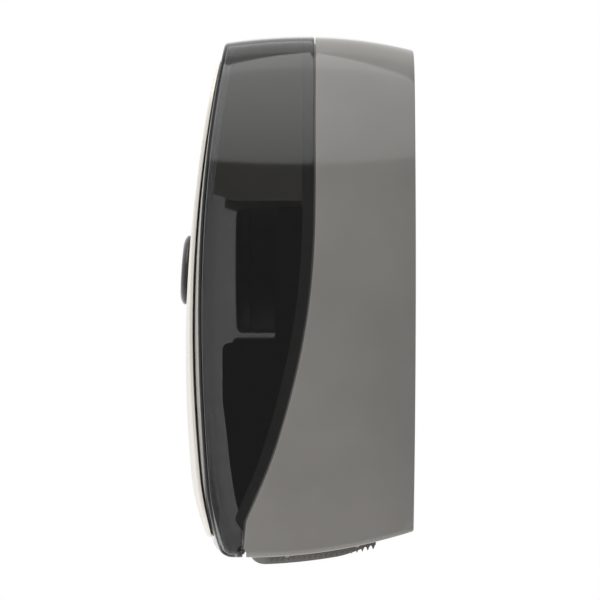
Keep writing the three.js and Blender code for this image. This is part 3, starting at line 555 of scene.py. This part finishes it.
tongueInset = shell["coverWall"] + parting["slideGap"]
tongueInner = tongueInset + parting["tongueWall"]
pivotZ = floorAt(hinge["x"], hinge["depth"]) + hinge["rise"]
flange = {"back": 3.3, "thickness": 2.5, "width": 13}
flangeFront = flange["back"] + flange["thickness"]
mouth = {
    "half": 50, "back": 22, "front": 99, "corner": 12, "wall": 2.5, "flange": 9, "drop": 6.8,
    "strip": 1.2, "stripDrop": 6, "stripDropRear": 7.5,
    "pitch": 3.39, "teeth": 20, "tooth": 3.2, "first": 22.2,
    "rivets": (34, 78),
}


def housingEdge(x, z):
    return partingDepth(z) - parting["gap"] / 2


def tongueRoot(x, z):
    return partingDepth(z) - parting["tongueRoot"]


def tongueEnd(x, z):
    share = smoothStep(z, pivotZ + 12, pivotZ + 24)
    return partingDepth(z) + 0.2 + (parting["tongueReach"] - 0.2) * share


def hingeRod(radius, low=-170, high=170):
    return rodOf(radius, low, high, aboutX(hinge["depth"], pivotZ), 40)


def makeHousing():
    rounding = shell["edgeRound"]
    rings = [surfaceRing(lambda x, z: 0, rounding)]
    rings += wallRun(lambda x, z: rounding, lambda x, z: housingEdge(x, z) - rounding, 0, 20)
    rings.append(surfaceRing(lambda x, z: housingEdge(x, z) - 0.3 * rounding, 0.3 * rounding * 0.5))
    rings.append(surfaceRing(housingEdge, rounding))
    rings.append(surfaceRing(housingEdge, tongueInset))
    rings.append(surfaceRing(tongueEnd, tongueInset))
    rings.append(surfaceRing(tongueEnd, tongueInner))
    rings.append(surfaceRing(tongueRoot, tongueInner))
    rings += wallRun(lambda x, z: tongueRoot(x, z) - 2.5, lambda x, z: flangeFront, shell["housingWall"], 12)
    inner = shell["housingWall"] + flange["width"]
    rings.append(surfaceRing(lambda x, z: flangeFront, inner))
    rings.append(surfaceRing(lambda x, z: flange["back"], inner))
    rings.append(surfaceRing(lambda x, z: flange["back"], shell["housingWall"]))
    rings.append(surfaceRing(lambda x, z: 0, shell["housingWall"]))
    body = ringBody("housingShell", rings, True)
    wide = mouth["half"] + mouth["wall"] + mouth["strip"] + seat + 2.2
    opening = roundedRect(wide, mouth["back"] - mouth["wall"] - 0.6, 130, 4)
    body = combined(body, prism("cutter", opening, -200, -140, alongZ), "DIFFERENCE")
    body = combined(body, hingeRod(hinge["rise"] + 0.6), "DIFFERENCE")
    room = blockOf(-170, 170, hinge["depth"] - hinge["rise"] - 0.5, 130, -200, pivotZ)
    body = combined(body, room, "DIFFERENCE")
    for side in (1, -1):
        inner = hinge["x"] + hinge["length"] / 2 + seat
        low, high = sorted((side * inner, side * (inner + hinge["ear"])))
        d, z = hinge["depth"], pivotZ
        arm = prism("ear", [
            (94, z - 1.2), (d - 4.4, z - 1.2), (d - 3.4, z - 0.2), (d, z - 0.2), (d, z + 2.4),
            (d - 4, z + 3.4), (94, z + 3.4)], low, high, alongX)
        arm = combined(arm, hingeRod(2.4, low, high), "UNION")
        arm = combined(arm, hingeRod(hinge["pin"] + 0.15), "DIFFERENCE")
        body = combined(body, arm, "UNION")
    return kept(body, "housing", "housing_grey", "rear_housing")


print("housing")
makeHousing()

# Mouth collar and tear strips


def rivetZ(depth):
    return floorAt(mouth["half"], depth) - 1.6


def makeCollar():
    back, front = mouth["back"] - mouth["wall"], mouth["front"] + mouth["wall"]
    profile = []
    for i in range(25):
        depth = back - 1 + (front - 9 - back + 1) * i / 24
        rise = 4.5 * (max(46 - depth, 0) / 26) ** 1.5
        profile.append((depth, floorAt(0, depth) - mouth["drop"] + rise))
    lip = profile[-1][1]
    for angle in range(10, 81, 10):
        turn = math.radians(angle)
        profile.append((front - 9 + 9.4 * math.sin(turn), lip + 7 * (1 - math.cos(turn))))
    profile += [(front + 1, lip + 8), (front + 1, floorAt(0, front, 4.5))]
    for i in range(12, -1, -1):
        depth = back - 1 + (front - back + 1) * i / 12
        profile.append((depth, floorAt(0, depth, 4.5)))
    outer = roundedRect(mouth["half"] + mouth["wall"], back, front, mouth["corner"] + mouth["wall"], 14)
    hole = roundedRect(mouth["half"], mouth["back"], mouth["front"], mouth["corner"], 14)
    wall = combined(prism("mouthCollar", outer, -210, -150, alongZ),
                    prism("cutter", profile, -60, 60, alongX), "INTERSECT")
    rim = roundedRect(mouth["half"] + mouth["wall"] + mouth["flange"], back - 6, front, mouth["corner"])
    level = shell["housingWall"] + curveSeat
    end = parting["footDepth"] - parting["tongueRoot"] - 3.5
    bandRings = wallRun(lambda x, z: 8, lambda x, z: end, level, 8, plainStations)
    bandRings += list(reversed(wallRun(lambda x, z: 8, lambda x, z: end, level + 2, 8, plainStations)))
    lap = combined(ringBody("lap", bandRings, True), prism("cutter", rim, -200, -140, alongZ), "INTERSECT")
    body = combined(wall, lap, "UNION")
    body = combined(body, prism("cutter", hole, -220, -140, alongZ), "DIFFERENCE")
    return kept(body, "housing", "housing_grey", "mouth_collar")


def makeStrip(name, side):
    length = mouth["teeth"] * mouth["pitch"]

    def tip(depth):
        share = (mouth["first"] + length - depth) / length
        return floorAt(mouth["half"], depth) - mouth["stripDrop"] \
            - (mouth["stripDropRear"] - mouth["stripDrop"]) * share

    points = []
    for i in range(mouth["teeth"]):
        start = mouth["first"] + i * mouth["pitch"]
        for share, rise in ((0, 1), (0.2, 0.72), (0.46, 0.03), (0.54, 0.03), (0.8, 0.72)):
            points.append((start + mouth["pitch"] * share, tip(start) + mouth["tooth"] * rise))
    end = mouth["first"] + length
    points.append((end, tip(end) + mouth["tooth"]))
    for i in range(10, -1, -1):
        depth = mouth["first"] + length * i / 10
        points.append((depth, floorAt(mouth["half"], depth) + 1.5))
    inner = mouth["half"] + mouth["wall"] + seat
    low, high = sorted((side * inner, side * (inner + mouth["strip"])))
    body = softened(prism("tearStrip_" + name, points, low, high, alongX), 0.16)
    return kept(body, "housing", "strip_steel", "tear_strip_" + name)


def makeRivet(name, side, number, depth):
    start = mouth["half"] + 0.2
    top = mouth["half"] + mouth["wall"] + seat + mouth["strip"] + 0.25
    dome = [(1.9 * math.cos(math.radians(a)), top + 0.9 * math.sin(math.radians(a)))
            for a in range(0, 86, 12)]
    profile = [(0, start), (0.8, start), (0.8, top)] + dome + [(0, top + 0.9)]
    profile = [(r, side * x) for r, x in profile]
    body = turned(f"stripRivet_{name}_{number}", profile, aboutX(depth, rivetZ(depth)), 32)
    return kept(body, "housing", "zinc_steel", f"strip_rivet_{name}_{number}")


print("mouth")
makeCollar()
for name, side in (("right", 1), ("left", -1)):
    makeStrip(name, side)
    for number, depth in enumerate(mouth["rivets"], 1):
        makeRivet(name, side, number, depth)

# Back plate

plate = {"thickness": 3, "slotX": 62, "slotZ": 92, "slotWidth": 6, "slotLength": 16}


def makePlate():
    level = shell["housingWall"] + 0.4
    rings = [surfaceRing(lambda x, z, d=d: d, level + s, stations)
             for d, s in ((0, 0.4), (0.4, 0), (plate["thickness"] - 0.4, 0), (plate["thickness"], 0.4))]
    body = ringBody("backPlate", rings, False)
    for x in (plate["slotX"], -plate["slotX"]):
        for z in (plate["slotZ"], -plate["slotZ"]):
            half = plate["slotLength"] / 2
            slot = roundedRect(plate["slotWidth"] / 2, z - half, z + half, plate["slotWidth"] / 2 - 0.01)
            slot = [(x + u, v) for u, v in slot]
            body = combined(body, prism("cutter", slot, -1, plate["thickness"] + 1, alongY), "DIFFERENCE")
    return kept(body, "housing", "black_plastic", "back_plate")


print("back plate")
makePlate()

# Inner chassis and hood

chassis = {"front": 116.7, "shelf": -45, "rise": 37, "step": 84.9, "flange": 13.5, "wall": 2.2}
hood = {"foot": 40.5, "footRise": 7, "slotHalf": 24.5, "wall": 1.8, "tabX": 48}


def makeChassis():
    back, front = flangeFront + seat, chassis["front"]
    flangeEnd = back + chassis["wall"]
    inset = tongueInner + 0.8
    inner = inset + chassis["wall"]
    rings = wallRun(lambda x, z: back, lambda x, z: front + 2, inset, 14, plainStations)
    rings += wallRun(lambda x, z: front + 2, lambda x, z: flangeEnd, inner, 14, plainStations)
    rings.append(surfaceRing(lambda x, z: flangeEnd, inner + chassis["flange"], plainStations))
    rings.append(surfaceRing(lambda x, z: back, inner + chassis["flange"], plainStations))
    side = [(back - 1, chassis["rise"]), (chassis["step"], chassis["rise"]),
            (chassis["step"], chassis["shelf"]), (front, chassis["shelf"]),
            (front, -80), (front - 2, -97), (front - 4.4, -121), (front - 7, -139),
            (front - 10, -152), (100, -159), (100, -200), (back - 1, -200)]
    body = combined(ringBody("innerFrame", rings, True), prism("cutter", fillet(side, 4), -170, 170, alongX),
                    "INTERSECT")
    opening = roundedRect(mouth["half"] + 0.6, mouth["back"] - 0.6, 130, mouth["corner"])
    body = combined(body, prism("cutter", opening, -200, -130, alongZ), "DIFFERENCE")
    return kept(body, "housing", "black_plastic", "inner_chassis")


def makeHood(name, side):
    def back(x, z):
        return partingDepth(z) + parting["tongueReach"] + 0.35

    def front(x, z):
        return faceDepth(x, z) - 7

    rings = wallRun(back, front, tongueInset, 14, plainStations)
    rings += list(reversed(wallRun(back, front, tongueInset + hood["wall"], 14, plainStations)))
    low = hood["foot"]
    high = low + hood["footRise"]
    keep = fillet([(40, low), (109, low), (131, high), (150, high), (150, 200), (40, 200)], 6)
    x0, x1 = sorted((side * hood["slotHalf"], side * 170))
    skin = combined(ringBody("hood_" + name, rings, True), prism("cutter", keep, x0, x1, alongX), "INTERSECT")

    def tabEnd(x, z):
        return partingDepth(z) + parting["tongueReach"] + 4

    def shift(x, z):
        return back(x, z) + 0.6

    def start(x, z):
        return partingDepth(z)

    steps = ((start, tongueInner + seat), (shift, tongueInner + seat), (shift, tongueInner - 0.6),
             (tabEnd, tongueInner - 0.6), (tabEnd, tongueInner + seat + hood["wall"]),
             (start, tongueInner + seat + hood["wall"]))
    for outer in ((hood["tabX"] - 8, hood["tabX"] + 8, 100, 200), (90, 170, 62, 78)):
        a, b = sorted((side * outer[0], side * outer[1]))
        tab = ringBody("tab", [surfaceRing(rule, level, plainStations) for rule, level in steps], True)
        tab = combined(tab, blockOf(a, b, 40, 90, outer[2], outer[3]), "INTERSECT")
        skin = combined(skin, tab, "UNION")
    return kept(skin, "housing", "hood_grey", "roll_hood_" + name)


print("chassis and hood")
makeChassis()
for name, side in (("right", 1), ("left", -1)):
    makeHood(name, side)

# Roll hub

hub = {"radius": 40.5, "flange": 47, "back": 10.5, "face": 101, "nose": 110.7,
       "wall": 2.5, "post": 10, "gap": 0.4}


def makeHub():
    inner, bore = hub["radius"] - hub["wall"], hub["post"] + hub["gap"]
    profile = [(bore, hub["back"]), (bore + 2.6, hub["back"]), (bore + 2.6, hub["face"] - hub["wall"]),
               (inner, hub["face"] - hub["wall"]), (inner, hub["back"]), (hub["flange"], hub["back"]),
               (hub["flange"], hub["back"] + hub["wall"]), (hub["radius"], hub["back"] + hub["wall"]),
               (hub["radius"], hub["face"]), (bore, hub["face"])]
    body = turned("rollHub", fillet(profile, 0.6), aboutY(), 96, closed=True)
    return kept(body, "hub", "black_plastic", "roll_hub")


def makeHubCap():
    hollow, back = hub["post"] + 6, hub["face"] + seat
    profile = [(0, hub["nose"] - hub["wall"]), (hollow, hub["nose"] - hub["wall"]), (hollow, back),
               (hub["radius"], back), (hub["radius"], hub["nose"] - 4)]
    for angle in range(10, 91, 10):
        turn = math.radians(angle)
        profile.append((hub["radius"] - 4 + 4 * math.cos(turn), hub["nose"] - 4 + 4 * math.sin(turn)))
    profile.append((0, hub["nose"]))
    return kept(turned("hubCap", profile, aboutY(), 96), "hub", "black_plastic", "hub_cap")


print("hub")
makeHub()
makeHubCap()

# Cover

lock = {"depth": 81, "sleeve": 9, "plug": 6, "length": 15}
lockTop = roofAt(0, lock["depth"]) - 0.25


def coverSkin(inset):
    gap = parting["gap"] / 2
    rounding = shell["edgeRound"]
    start = surfaceRing(lambda x, z: partingDepth(z) + gap, inset)
    edge = []
    for spot in stations:
        x, z = shellPoint(face["edgeDepth"] - 8, inset + face["corner"], spot)
        for _ in range(4):
            radius = max(faceRound(z) - inset, 1)
            depth = faceDepth(x, z) - inset
            x, z = shellPoint(depth - radius, inset + radius, spot)
        edge.append((faceDepth(x, z) - inset, radius))
    rings = []
    turnIn = 1 if inset == 0 else -1
    for ahead, drawn in ((0, rounding), (0.15 * rounding, 0.5 * rounding), (0.5 * rounding, 0.15 * rounding)):
        ring = []
        for spot, point in zip(stations, start):
            x, z = shellPoint(point[1] + ahead, inset + turnIn * drawn, spot)
            ring.append((x, point[1] + ahead, z))
        rings.append(ring)
    steps = 26
    for s in range(steps + 1):
        ring = []
        for spot, point, (depth, radius) in zip(stations, start, edge):
            first = point[1] + rounding
            here = first + (depth - radius - first) * s / steps
            x, z = shellPoint(here, inset, spot)
            ring.append((x, here, z))
        rings.append(ring)
    for angle in range(10, 91, 10):
        turn = math.radians(angle)
        ring = []
        for spot, (depth, radius) in zip(stations, edge):
            x, z = shellPoint(depth - radius, inset + radius * (1 - math.cos(turn)), spot)
            ring.append((x, depth - radius + radius * math.sin(turn), z))
        rings.append(ring)
    rim = rings[-1]
    for i in range(1, 25):
        share = 1 - 0.98 * i / 24
        ring = []
        for point in rim:
            x, z = point[0] * share, face["centre"] + (point[2] - face["centre"]) * share
            ring.append((x, faceDepth(x, z) - inset, z))
        rings.append(ring)
    return rings


def makeCover():
    body = ringBody("smokeCover", list(reversed(coverSkin(0))) + coverSkin(shell["coverWall"]), False)
    corner = blockOf(-170, 170, 96, hinge["depth"], -200, pivotZ)
    corner = combined(corner, hingeRod(hinge["rise"] + 0.1), "DIFFERENCE")
    body = combined(body, corner, "DIFFERENCE")
    for side in (1, -1):
        x = side * hinge["x"]
        knuckle = hingeRod(hinge["radius"], x - hinge["length"] / 2, x + hinge["length"] / 2)
        body = combined(body, knuckle, "UNION")
        outer = hinge["x"] + hinge["length"] / 2
        low, high = sorted((side * outer, side * (outer + hinge["ear"] + 2 * seat)))
        body = combined(body, blockOf(low, high, 90, hinge["depth"] + 3.2, -200, pivotZ + 6), "DIFFERENCE")
        low, high = sorted((side * 40, side * 90))
        body = combined(body, hingeRod(hinge["pin"] + 0.3, low, high), "DIFFERENCE")
    hole = rodOf(lock["sleeve"] + seat, 130, 170, aboutZ(0, lock["depth"]), 64)
    body = combined(body, hole, "DIFFERENCE")
    recess = rodOf(lock["sleeve"] + 2.4, lockTop - 1 - seat, 170, aboutZ(0, lock["depth"]), 64)
    body = combined(body, recess, "DIFFERENCE")
    body = combined(body, rodOf(4.6, -20, 20, badgePlace, 40), "DIFFERENCE")
    return kept(body, "cover", "smoke", "front_cover")


badge = {"radius": 22.4, "height": 4, "panel": 2.5, "panelSeat": 0.6}
badgeSlope = -math.atan(-face["middleCentre"] / face["middleBow"])
badgeSeat = faceDepth(0, 0) + badge["panelSeat"]


def badgePlace(u, v, depth):
    y, z = -depth, v
    leaned = y * math.cos(badgeSlope) - z * math.sin(badgeSlope)
    return u, badgeSeat - leaned, y * math.sin(badgeSlope) + z * math.cos(badgeSlope)


# Front panel and badge

panel = {"halfWidth": 96, "corner": 30, "taper": 0.15, "top": 131, "foot": -168, "edge": 0.9}


def makePanel():
    centre, half = (panel["top"] + panel["foot"]) / 2, (panel["top"] - panel["foot"]) / 2
    corners = roundedRect(panel["halfWidth"], panel["foot"], panel["top"], panel["corner"], 14)
    rim = []
    for a, b in zip(corners, corners[1:] + corners[:1]):
        steps = max(int(math.dist(a, b) / 5), 1)
        for i in range(steps):
            x, z = (p + (q - p) * i / steps for p, q in zip(a, b))
            rim.append((x * (1 - panel["taper"] * ((z - centre) / half) ** 2), z - centre))
    thick, edge = badge["panel"], panel["edge"]

    def ring(share, lift, drawn=0):
        made = []
        for rimX, rise in rim:
            away = math.hypot(rimX, rise)
            x, z = (v * (share - drawn / away) for v in (rimX, rise))
            z += centre
            made.append((x, faceDepth(x, z) + badge["panelSeat"] + lift, z))
        return made

    shares = [0.02 + 0.95 * i / 22 for i in range(23)]
    rings = [ring(share, 0) for share in shares] + [ring(1, 0, 0.5), ring(1, 0.4)]
    for angle in range(0, 91, 15):
        turn = math.radians(angle)
        rings.append(ring(1, thick - edge + edge * math.sin(turn), edge * (1 - math.cos(turn))))
    rings += [ring(share, thick) for share in reversed(shares)]
    body = ringBody("facePanel", rings, False)
    body = combined(body, rodOf(4.3, -12, 8, badgePlace, 40), "DIFFERENCE")
    return kept(body, "cover", "panel_satin", "front_panel")


def makeBadge():
    foot, radius = badge["panel"] + 0.6, badge["radius"]
    ringProfile = [(4, -5.8), (4, foot), (radius, foot), (radius, foot + 1.4), (radius - 0.6, foot + 2.2),
                   (radius - 2.4, foot + 3.4), (radius - 4.6, foot + badge["height"]),
                   (15.6, foot + badge["height"]), (15.4, foot + 2.4)]
    profile = [(0, -5.8)] + fillet(ringProfile, 0.9, 5, closed=False) + [(0, foot + 2.4)]
    kept(turned("badgeRing", profile, badgePlace, 96), "cover", "black_gloss", "badge_base")
    foot = foot + 2.4 + seat
    profile = [(0, foot), (15, foot), (15, foot + 0.9), (14.3, foot + 1.4)]
    profile += [(r, foot + 2.3 - 0.8 * (r / 14) ** 2) for r in (12.5, 10, 7.5, 5, 2.5)] + [(0, foot + 2.3)]
    kept(turned("badgeDome", profile, badgePlace, 96), "cover", "chrome", "badge_disc")


print("cover")
makeCover()
makePanel()
makeBadge()

# Lock


def makeLock():
    inner, sleeve, low = lock["plug"] + seat, lock["sleeve"], lockTop - lock["length"]
    profile = [(inner, low), (sleeve, low), (sleeve, lockTop - 1), (sleeve + 2, lockTop - 1),
               (sleeve + 2, lockTop - 0.3), (sleeve + 1.6, lockTop), (inner, lockTop)]
    body = turned("lockSleeve", fillet(profile, 0.2, 3), aboutZ(0, lock["depth"]), 64, closed=True)
    kept(body, "cover", "chrome", "lock_sleeve")
    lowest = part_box("lock_plug")[0].z / mm
    foot = low - seat
    profile = [(0, lowest), (3, lowest), (3, foot), (lock["plug"], foot), (lock["plug"], lockTop - 0.6),
               (lock["plug"] - 0.4, lockTop - 0.2), (0, lockTop - 0.2)]
    body = turned("lockPlug", profile, aboutZ(0, lock["depth"]), 64)
    keyway = blockOf(-0.8, 0.8, lock["depth"] - 3.8, lock["depth"] + 3.8, lockTop - 9, lockTop + 1)
    kept(combined(body, keyway, "DIFFERENCE"), "lock", "chrome", "lock_plug")


print("lock")
makeLock()

# Screws and pins

bodyOf = {node: body for body, nodes in frame["record"]["behaviour"]["bodies"].items() for node in nodes}


def makeScrew(node):
    low, high = (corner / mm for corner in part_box(node))
    centre = (low + high) / 2
    size = high - low
    rising = size.z > size.y
    radius = size.x / 2
    if rising:
        head, tip, shank, place = low.z, high.z, 1.0, aboutZ(centre.x, -centre.y)
    else:
        head, tip, shank, place = -low.y, -high.y, 1.7, aboutY(centre.x, centre.z)
    way = 1 if tip > head else -1
    tall = 1.9 if rising else 2.1
    dome = [(radius * math.cos(math.radians(a)), head + way * tall * 0.6 * (1 - math.sin(math.radians(a))))
            for a in range(85, -1, -12)]
    profile = [(0, head)] + dome
    profile += [(radius, head + way * tall), (shank, head + way * tall), (shank, tip), (0, tip)]
    body = turned(node.replace("_", "."), profile, place, 36)
    depth = min(1.2, tall * 0.6)
    for wide, slim in ((radius * 0.55, radius * 0.13), (radius * 0.13, radius * 0.55)):
        a, b = sorted((head - way * 0.2, head + way * depth))
        if rising:
            cross = blockOf(centre.x - wide, centre.x + wide, -centre.y - slim, -centre.y + slim, a, b)
        else:
            cross = blockOf(centre.x - wide, centre.x + wide, a, b, centre.z - slim, centre.z + slim)
        body = combined(body, cross, "DIFFERENCE")
    return kept(body, bodyOf[node], "zinc_steel", node)


def makePin(name):
    node = "hinge_pin_" + name
    low, high = (corner.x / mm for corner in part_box(node))
    profile = fillet([(0, low), (hinge["pin"], low), (hinge["pin"], high), (0, high)], 0.3, 3, closed=False)
    body = turned("hingePin_" + name, profile, aboutX(hinge["depth"], pivotZ), 32)
    kept(body, "housing", "zinc_steel", node)


print("fasteners")
for node in sorted(bodyOf):
    if "screw" in node:
        makeScrew(node)
for name in ("right", "left"):
    makePin(name)

# Carried-over CAD pieces

slotOf = {part["node"]: part["material_slot"] for part in frame["record"]["subparts"]}
for node in ("drag_washer", "hub_post", "hub_washer", "strike_hook", "badge_clip", "lock_nut", "lock_cam"):
    piece = frame["nodes"][node]
    for place in piece.material_slots:
        place.material = finish[slotOf[node]]
print("done")
